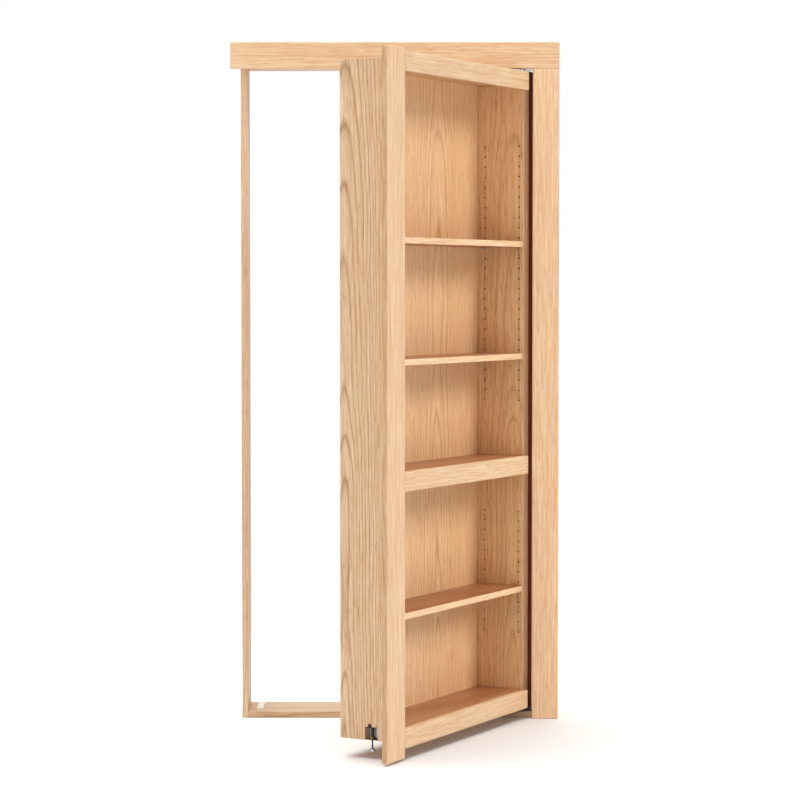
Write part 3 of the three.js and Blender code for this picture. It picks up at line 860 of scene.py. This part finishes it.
class BOOKCASE_OT_foot(bpy.types.Operator):
    """The foot: bracket, nut, sleeve, threaded rod with its head, and pad"""

    bl_idname = "bookcase.foot"
    bl_label = "Foot"

    def execute(self, context):
        dress("foot_bracket", zinc_sheet())
        self.paint_flange_shade()
        dress("foot_sleeve", black_steel())
        dress("foot_nut", turned_brass())
        dress("foot_pad", zinc_steel())
        self.threaded_rod()
        return {"FINISHED"}

    def paint_flange_shade(self):
        """The flanges get black oxide as painted shade; the web between them stays bright."""
        flange = 3.2 * MM
        low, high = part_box("foot_bracket")
        # The black here is painted shade: it stands in for the shade and dark reflections on the
        # flanges
        dress_some(
            "foot_bracket", black_steel(),
            lambda face: not low.z + flange <= face.center.z <= high.z - flange,
        )

    def threaded_rod(self):
        """The rod with its thread, which the solid leaves out, and the head at its top."""
        head_thickness = 3 * MM
        ease = 0.6 * MM
        rings_per_turn = 5
        hardware = settings("hardware")
        low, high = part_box("foot_rod")
        centre = (low + high) / 2
        head_radius = (high.x - low.x) / 2
        rod_radius = head_radius / 2
        sides = hardware.thread_sides
        top = high.z - head_thickness
        steps = int((top - low.z) / hardware.thread_pitch * rings_per_turn)

        def thread(z):
            def radius(angle):
                turn = (z / hardware.thread_pitch - angle / (2 * math.pi)) % 1.0
                return rod_radius - hardware.thread_depth * abs(2 * turn - 1)
            return radius

        bm = bmesh.new()
        rings = []
        for step in range(steps + 1):
            z = low.z + (top - low.z) * step / steps
            rings.append(ring_of(bm, thread(z), z, sides))
        for radius, z in (
            (head_radius, top), (head_radius, high.z - ease), (head_radius - ease, high.z)
        ):
            rings.append(ring_of(bm, radius, z, sides))
        for below, above in zip(rings, rings[1:]):
            join_rings(bm, below, above)
        bm.faces.new(list(reversed(rings[0])))
        bm.faces.new(rings[-1])
        bmesh.ops.translate(bm, verts=bm.verts, vec=(centre.x, centre.y, 0.0))
        rod = new_object("foot_rod_threaded", bm, black_steel(), "foot")
        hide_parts("foot_rod")


class BOOKCASE_OT_stage(bpy.types.Operator):
    """Camera, floor, white room and lights"""

    bl_idname = "bookcase.stage"
    bl_label = "Stage"

    def execute(self, context):
        self.camera()
        self.floor()
        self.room()
        self.lights()
        bpy.context.scene.view_settings.view_transform = "Standard"
        return {"FINISHED"}

    def camera(self):
        """The camera, almost level and a long way off."""
        stage = settings("stage")
        data = bpy.data.cameras.new("camera")
        data.sensor_width = 36.0
        data.lens = stage.lens
        data.clip_end = 100.0
        made = bpy.data.objects.new("camera", data)
        made.location = stage.camera_place
        made.rotation_euler = Euler((math.pi / 2 - stage.camera_pitch, 0.0, -stage.camera_yaw))
        bpy.context.scene.collection.objects.link(made)
        bpy.context.scene.camera = made

    def floor(self):
        """A floor in matt white studio paint, rolled on, so that its tone varies faintly over a
        third of a metre. It fades to the white of the room away from the object.
        """
        reach = 14.0
        drop = 0.5 * MM
        mottle = 1000 / 3 * MM
        fade_start, fade_end = 1.2, 2.2
        bm = bmesh.new()
        bmesh.ops.create_grid(bm, x_segments=8, y_segments=8, size=reach)
        mesh = bpy.data.meshes.new("floor")
        bm.to_mesh(mesh)
        bm.free()
        made = bpy.data.objects.new("floor", mesh)
        made.location.z = -drop
        bpy.context.scene.collection.objects.link(made)

        material, tree, shader, place = new_material("matt white studio floor")
        speck = add_node(
            tree, "TexNoise", {"Vector": place, "Scale": 1 / mottle, "Detail": 2.0}
        ).outputs["Fac"]
        paint = add_node(
            tree, "Mix", {0: speck, 6: linear("#FBFDFF"), 7: linear("#F8FBFD")}, data_type="RGBA"
        ).outputs[2]
        tree.links.new(paint, shader.inputs["Base Color"])
        shader.inputs["Roughness"].default_value = 0.9
        shader.inputs["Specular IOR Level"].default_value = 0.1
        # The camera and reflections see the paint brightened by a part that no piece shades, and
        # far from the object they see the white of the room
        part = add_node(
            tree, "Emission",
            {"Color": linear("#FFDFC0"), "Strength": settings("stage").floor_light},
        ).outputs[0]
        lit = add_node(tree, "AddShader", {0: shader.outputs[0], 1: part}).outputs[0]
        away = add_node(tree, "VectorMath", {0: place}, operation="LENGTH").outputs["Value"]
        fade = add_node(
            tree, "MapRange", {"Value": away, "From Min": fade_start, "From Max": fade_end},
            interpolation_type="SMOOTHSTEP",
        ).outputs[0]
        white = add_node(tree, "Emission", {"Color": (1, 1, 1, 1), "Strength": 1.0}).outputs[0]
        shown = add_node(tree, "MixShader", {0: fade, 1: lit, 2: white}).outputs[0]
        mixed = add_node(
            tree, "MixShader", {0: self.seen(tree), 1: shader.outputs[0], 2: shown}
        ).outputs[0]
        tree.links.new(mixed, tree.nodes["Material Output"].inputs["Surface"])
        mesh.materials.append(material)

    def room(self):
        """A white room, which is seen as plain white and gives only a little light."""
        world = bpy.data.worlds.new("white room")
        world.use_nodes = True
        tree = world.node_tree
        tree.nodes.clear()
        strength = add_node(
            tree, "MapRange",
            {"Value": self.seen(tree), "To Min": settings("stage").room_light, "To Max": 1.0},
        ).outputs[0]
        back = add_node(tree, "Background", {"Color": (1, 1, 1, 1), "Strength": strength})
        output = tree.nodes.new("ShaderNodeOutputWorld")
        tree.links.new(back.outputs[0], output.inputs["Surface"])
        bpy.context.scene.world = world

    def seen(self, tree):
        """1 where the camera sees a surface, straight or by way of metal or glass, and else 0."""
        path = add_node(tree, "LightPath").outputs
        rays = path["Is Camera Ray"]
        for other in ("Is Glossy Ray", "Is Transmission Ray"):
            rays = add_node(tree, "Math", {0: rays, 1: path[other]}, operation="MAXIMUM").outputs[0]
        return rays

    def lights(self):
        """Soft light in front on the right, weaker on the left, and from above and behind for the
        floor.
        """
        distance = 9.0
        stage = settings("stage")
        # Each lamp's turn to the right of the front, its height and its spread, in degrees
        for name, strength, turn, rise, spread in (
            ("key_light", stage.key_light, 72.0, 35.0, 26.0),
            ("fill_light", stage.fill_light, -27.0, 10.0, 40.0),
            ("top_light", stage.top_light, 215.0, 84.0, 74.0),
        ):
            data = bpy.data.lights.new(name, "SUN")
            data.angle = math.radians(spread)
            data.energy = strength
            made = bpy.data.objects.new(name, data)
            way = Matrix.Rotation(math.radians(turn), 3, "Z")
            way = way @ Matrix.Rotation(math.radians(-rise), 3, "X")
            made.location = way @ Vector((0.0, -distance, 0.0))
            made.rotation_euler = (-made.location).to_track_quat("-Z", "Y").to_euler()
            bpy.context.scene.collection.objects.link(made)
            if name != "top_light":
                self.keep_off_floor(made)

    def keep_off_floor(self, lamp):
        """The front lights leave the floor alone, so their long shadows don't cross it."""
        skipped = bpy.data.collections.new("not lit by " + lamp.name)
        skipped.objects.link(bpy.data.objects["floor"])
        lamp.light_linking.receiver_collection = skipped
        skipped.collection_objects[0].light_linking.link_state = "EXCLUDE"


OPERATORS = (
    BOOKCASE_OT_stage,
    BOOKCASE_OT_door_frame,
    BOOKCASE_OT_case,
    BOOKCASE_OT_face,
    BOOKCASE_OT_shelves,
    BOOKCASE_OT_shelf_pins,
    BOOKCASE_OT_pivots,
    BOOKCASE_OT_wear_plate,
    BOOKCASE_OT_foot,
)
GROUPS = {"oak": OakSettings, "hardware": HardwareSettings, "stage": StageSettings}


class BOOKCASE_PT_panel(bpy.types.Panel):
    """Settings and steps of the bookcase"""

    bl_idname = "BOOKCASE_PT_panel"
    bl_label = "Hidden door bookcase"
    bl_space_type = "VIEW_3D"
    bl_region_type = "UI"
    bl_category = "Bookcase"

    def draw(self, context):
        for name, group in GROUPS.items():
            box = self.layout.box()
            box.label(text=name.capitalize())
            for prop in group.__annotations__:
                box.prop(getattr(context.scene, "bookcase_" + name), prop)
        for operator in OPERATORS:
            self.layout.operator(operator.bl_idname)


def register():
    for cls in (*GROUPS.values(), *OPERATORS, BOOKCASE_PT_panel):
        bpy.utils.register_class(cls)
    for name, group in GROUPS.items():
        setattr(bpy.types.Scene, "bookcase_" + name, PointerProperty(type=group))


def unregister():
    for name in GROUPS:
        delattr(bpy.types.Scene, "bookcase_" + name)
    for cls in reversed((*GROUPS.values(), *OPERATORS, BOOKCASE_PT_panel)):
        bpy.utils.unregister_class(cls)


def main():
    """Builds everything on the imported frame, in order."""
    register()
    for operator in OPERATORS:
        group, name = operator.bl_idname.split(".")
        getattr(getattr(bpy.ops, group), name)()


if __name__ == "__main__":
    main()
